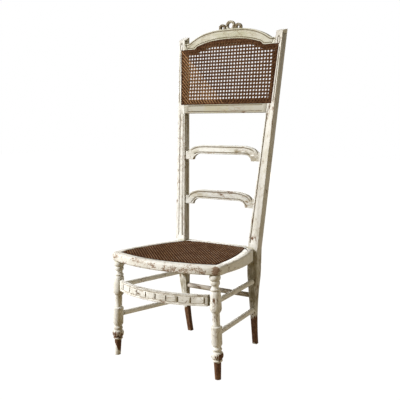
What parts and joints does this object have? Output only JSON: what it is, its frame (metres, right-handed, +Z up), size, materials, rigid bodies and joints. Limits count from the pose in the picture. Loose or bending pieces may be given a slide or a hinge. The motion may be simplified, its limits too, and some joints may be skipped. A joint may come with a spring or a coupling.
{
  "type": "peeling paint chair",
  "caption": "Tall-backed nursing chair with a bowed cane seat, caned back panel, turned front legs and worn cream paint.",
  "frame": {"origin": "on the floor, under the middle of the chair's own box", "axes": "+Z up, the front of the chair faces -Y, +X runs across the chair"},
  "size_m": [0.4804, 0.538, 1.2676],
  "materials": {
    "peeling_paint": "worn and crackled cream paint over dark wood, chipped at the edges",
    "woven_cane": "dark aged rattan cane, satin",
    "binder_cane": "dark aged rattan cane, satin"
  },
  "bodies": {
    "root": {"back_post_left": "peeling_paint", "back_post_right": "peeling_paint", "crest_rail": "peeling_paint", "panel_rail": "peeling_paint", "slat_upper": "peeling_paint", "slat_lower": "peeling_paint", "seat_rail_front": "peeling_paint", "seat_rail_back": "peeling_paint", "seat_rail_left": "peeling_paint", "seat_rail_right": "peeling_paint", "front_leg_left": "peeling_paint", "front_leg_right": "peeling_paint", "front_stretcher": "peeling_paint", "side_stretcher_upper_left": "peeling_paint", "side_stretcher_upper_right": "peeling_paint", "side_stretcher_lower_left": "peeling_paint", "side_stretcher_lower_right": "peeling_paint", "back_stretcher": "peeling_paint", "seat_cane": "woven_cane", "seat_cane_binder": "binder_cane", "back_cane": "woven_cane", "back_cane_binder": "binder_cane"}
  },
  "joints": []
}
